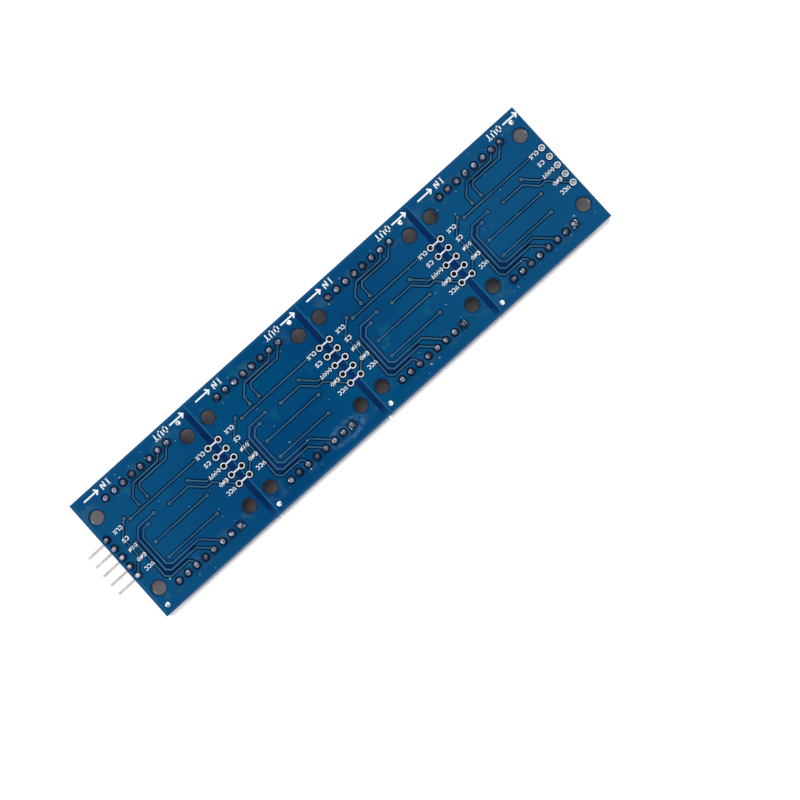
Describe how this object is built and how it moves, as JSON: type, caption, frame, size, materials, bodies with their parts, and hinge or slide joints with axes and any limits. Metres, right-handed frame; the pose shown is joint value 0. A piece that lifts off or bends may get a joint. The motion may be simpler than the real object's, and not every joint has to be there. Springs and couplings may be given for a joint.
{
  "type": "led dot matrix module",
  "caption": "Long flat display module: square dot matrix displays plugged into one driver board, solder side up, with bent input pins.",
  "frame": {"origin": "centre of the board's mounting holes, on its solder side", "axes": "+X along the board from the input pins to the output pads, +Y across the board towards the printed arrows, +Z out of the solder side, away from the displays' faces"},
  "size_m": [0.1345, 0.032, 0.0141],
  "materials": {
    "board_laminate": "satin dark blue mask over bare laminate",
    "masked_copper": "blue mask over copper, satin",
    "tinned_copper": "bright levelled tin",
    "printed_ink": "white screen print",
    "solder": "shiny solder with a grey skin",
    "header_plastic": "black moulded",
    "pin_metal": "tinned, smooth",
    "socket_plastic": "black moulded",
    "contact_metal": "plated spring metal",
    "shell_plastic": "white moulded, black printed face",
    "dot_resin": "milky cast resin",
    "carrier_laminate": "grey-brown sealed laminate",
    "chip_plastic": "black moulded compound",
    "lead_metal": "matt tin",
    "resistor_body": "black glaze on ceramic",
    "capacitor_body": "fired tan ceramic",
    "supply_capacitor_body": "amber moulded case"
  },
  "bodies": {
    "root": {"circuit_board": "board_laminate", "ground_plane": "masked_copper", "signal_tracks": "masked_copper", "solder_pads": "tinned_copper", "link_pads": "tinned_copper", "output_pads": "tinned_copper", "tinned_spots": "tinned_copper", "direction_arrows": "printed_ink", "header_joints": "solder", "header_block": "header_plastic", "header_pins": "pin_metal", "bias_resistors": "resistor_body", "bypass_capacitors": "capacitor_body", "supply_capacitors": "supply_capacitor_body", "display_shell_1": "shell_plastic", "display_shell_2": "shell_plastic", "display_shell_3": "shell_plastic", "display_shell_4": "shell_plastic", "display_resin_1": "dot_resin", "display_resin_2": "dot_resin", "display_resin_3": "dot_resin", "display_resin_4": "dot_resin", "display_carrier_1": "carrier_laminate", "display_carrier_2": "carrier_laminate", "display_carrier_3": "carrier_laminate", "display_carrier_4": "carrier_laminate", "display_pins_1": "pin_metal", "display_pins_2": "pin_metal", "display_pins_3": "pin_metal", "display_pins_4": "pin_metal", "upper_socket_1": "socket_plastic", "upper_socket_2": "socket_plastic", "upper_socket_3": "socket_plastic", "upper_socket_4": "socket_plastic", "lower_socket_1": "socket_plastic", "lower_socket_2": "socket_plastic", "lower_socket_3": "socket_plastic", "lower_socket_4": "socket_plastic", "socket_contacts_1": "contact_metal", "socket_contacts_2": "contact_metal", "socket_contacts_3": "contact_metal", "socket_contacts_4": "contact_metal", "socket_joints_1": "solder", "socket_joints_2": "solder", "socket_joints_3": "solder", "socket_joints_4": "solder", "driver_chip_1": "chip_plastic", "driver_chip_2": "chip_plastic", "driver_chip_3": "chip_plastic", "driver_chip_4": "chip_plastic", "driver_leads_1": "lead_metal", "driver_leads_2": "lead_metal", "driver_leads_3": "lead_metal", "driver_leads_4": "lead_metal"}
  },
  "joints": []
}
